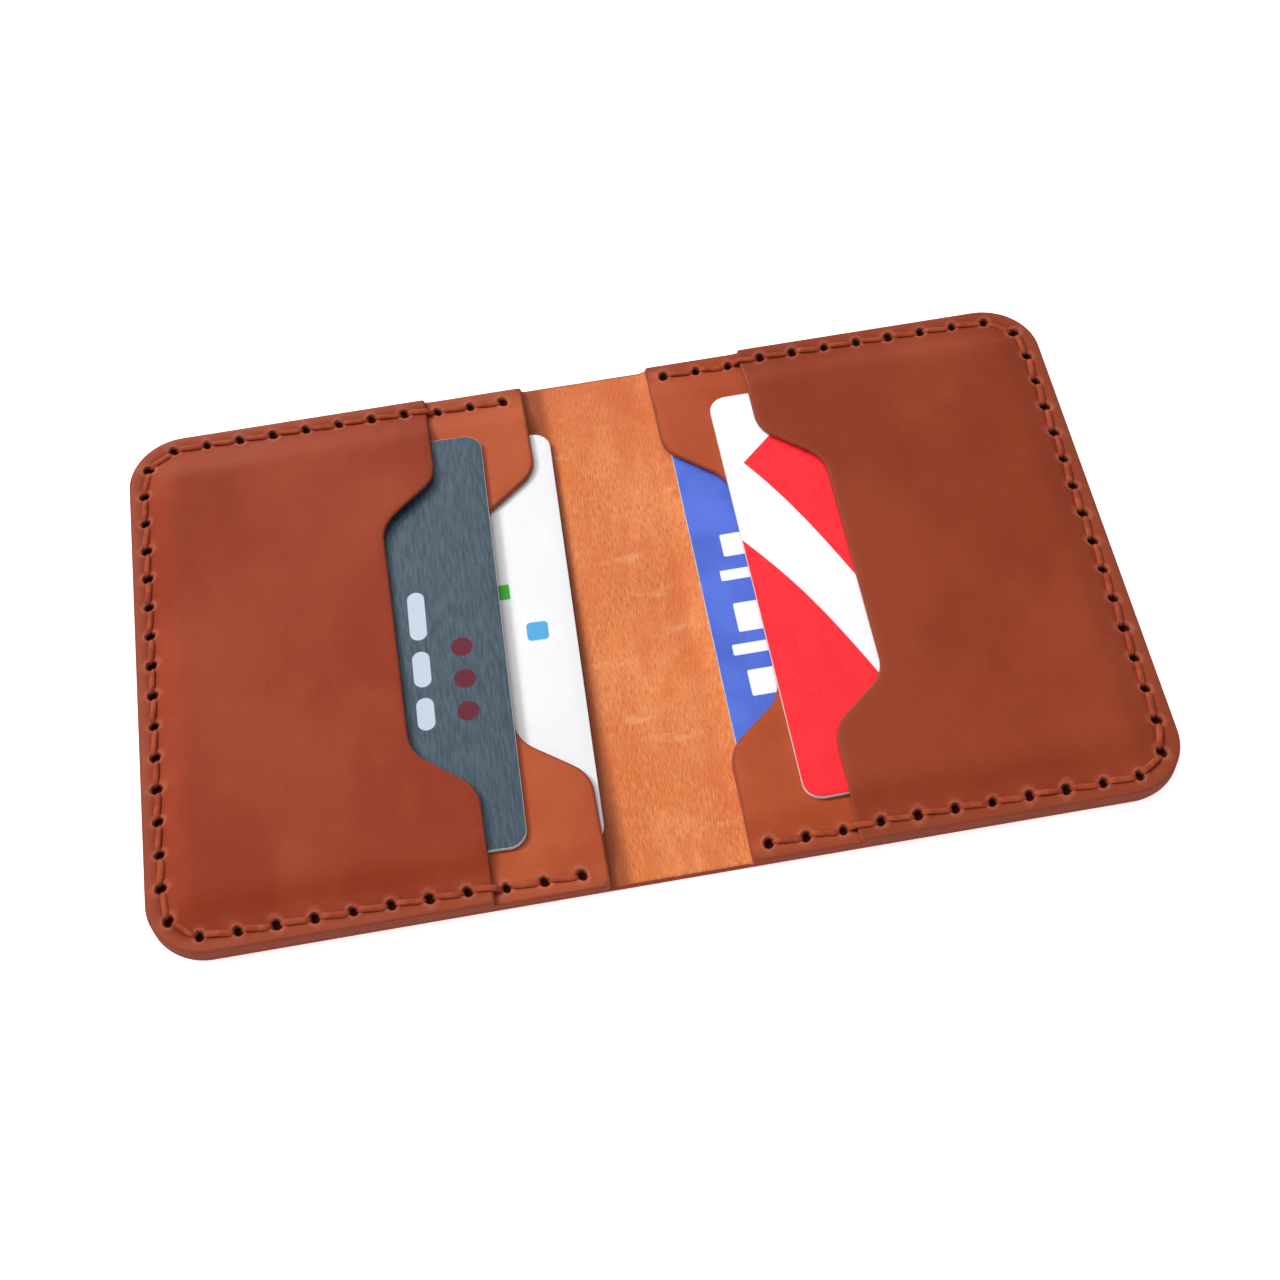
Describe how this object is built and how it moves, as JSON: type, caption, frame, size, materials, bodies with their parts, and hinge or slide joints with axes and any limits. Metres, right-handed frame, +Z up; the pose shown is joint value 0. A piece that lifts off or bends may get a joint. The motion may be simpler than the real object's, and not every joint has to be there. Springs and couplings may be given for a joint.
{
  "type": "card holder",
  "caption": "Bifold leather card holder, lying open: overlapped side pockets with thumb notches, saddle-stitched edges, standard cards and a bare spine that folds.",
  "frame": {"origin": "on the surface the open holder lies on, below the middle of the spine", "axes": "+Z up out of the open pockets; +X along the open length, from the left half to the right half; +Y along the fold, away from the near edge"},
  "size_m": [0.1714, 0.1056, 0.0049],
  "materials": {
    "shell_leather": "vegetable-tanned brown leather, grain side out, bare fibrous inner side at the spine",
    "pocket_leather": "smooth vegetable-tanned chestnut leather, waxed satin face, burnished edges",
    "waxed_thread": "waxed twisted thread, brown",
    "slate_card": "slate blue-grey card face printed with a fine brushed grain",
    "white_card": "glossy white laminated card",
    "blue_card": "glossy blue laminated card with a white edge",
    "red_card": "glossy red and white laminated card"
  },
  "bodies": {
    "spine_middle": {"spine_strip_3": "shell_leather"},
    "left_half": {"cover_left": "shell_leather", "lower_pocket_left": "pocket_leather", "upper_pocket_left": "pocket_leather", "thread_left": "waxed_thread"},
    "right_half": {"cover_right": "shell_leather", "lower_pocket_right": "pocket_leather", "upper_pocket_right": "pocket_leather", "thread_right": "waxed_thread"},
    "spine_turn_1": {"spine_strip_1": "shell_leather"},
    "spine_turn_2": {"spine_strip_2": "shell_leather"},
    "spine_turn_4": {"spine_strip_4": "shell_leather"},
    "spine_turn_5": {"spine_strip_5": "shell_leather"},
    "card_left_lower": {"card_left_lower": "white_card"},
    "card_left_upper": {"card_left_upper": "slate_card"},
    "card_right_lower": {"card_right_lower": "blue_card"},
    "card_right_upper": {"card_right_upper": "red_card"}
  },
  "joints": [
    {"name": "fold_right", "type": "hinge", "parent": "spine_middle", "child": "right_half", "pos_m": [0.00341, 0, 0.00191], "axis": [0, 1, 0], "range_deg": [-90, 0]},
    {"name": "fold_left", "type": "hinge", "parent": "spine_middle", "child": "left_half", "pos_m": [-0.00341, 0, 0.00191], "axis": [0, 1, 0], "range_deg": [0, 90]},
    {"name": "spine_turn_4_fold", "type": "hinge", "parent": "spine_middle", "child": "spine_turn_4", "pos_m": [0.00171, 0, 0.0012], "axis": [0, 1, 0], "range_deg": [-45, 0]},
    {"name": "spine_turn_5_fold", "type": "hinge", "parent": "right_half", "child": "spine_turn_5", "pos_m": [0.00512, 0, 0.0012], "axis": [0, 1, 0], "range_deg": [0, 45]},
    {"name": "spine_turn_2_fold", "type": "hinge", "parent": "spine_middle", "child": "spine_turn_2", "pos_m": [-0.00171, 0, 0.0012], "axis": [0, 1, 0], "range_deg": [0, 45]},
    {"name": "spine_turn_1_fold", "type": "hinge", "parent": "left_half", "child": "spine_turn_1", "pos_m": [-0.00512, 0, 0.0012], "axis": [0, 1, 0], "range_deg": [-45, 0]},
    {"name": "card_slide_left_lower", "type": "slide", "parent": "left_half", "child": "card_left_lower", "axis": [1, 0, 0], "range_m": [-0.0155, 0.0076]},
    {"name": "card_slide_left_upper", "type": "slide", "parent": "left_half", "child": "card_left_upper", "axis": [1, 0, 0], "range_m": [-0.003, 0.0202]},
    {"name": "card_slide_right_lower", "type": "slide", "parent": "right_half", "child": "card_right_lower", "axis": [-1, 0, 0], "range_m": [-0.0125, 0.0132]},
    {"name": "card_slide_right_upper", "type": "slide", "parent": "right_half", "child": "card_right_upper", "axis": [-1, 0, 0], "range_m": [-0.0035, 0.0217]}
  ],
  "couplings": [
    {"joint": "fold_left", "follows": "fold_right", "ratio": -1},
    {"joint": "spine_turn_4_fold", "follows": "fold_right", "ratio": 0.5},
    {"joint": "spine_turn_5_fold", "follows": "fold_right", "ratio": -0.5},
    {"joint": "spine_turn_2_fold", "follows": "fold_right", "ratio": -0.5},
    {"joint": "spine_turn_1_fold", "follows": "fold_right", "ratio": 0.5}
  ]
}
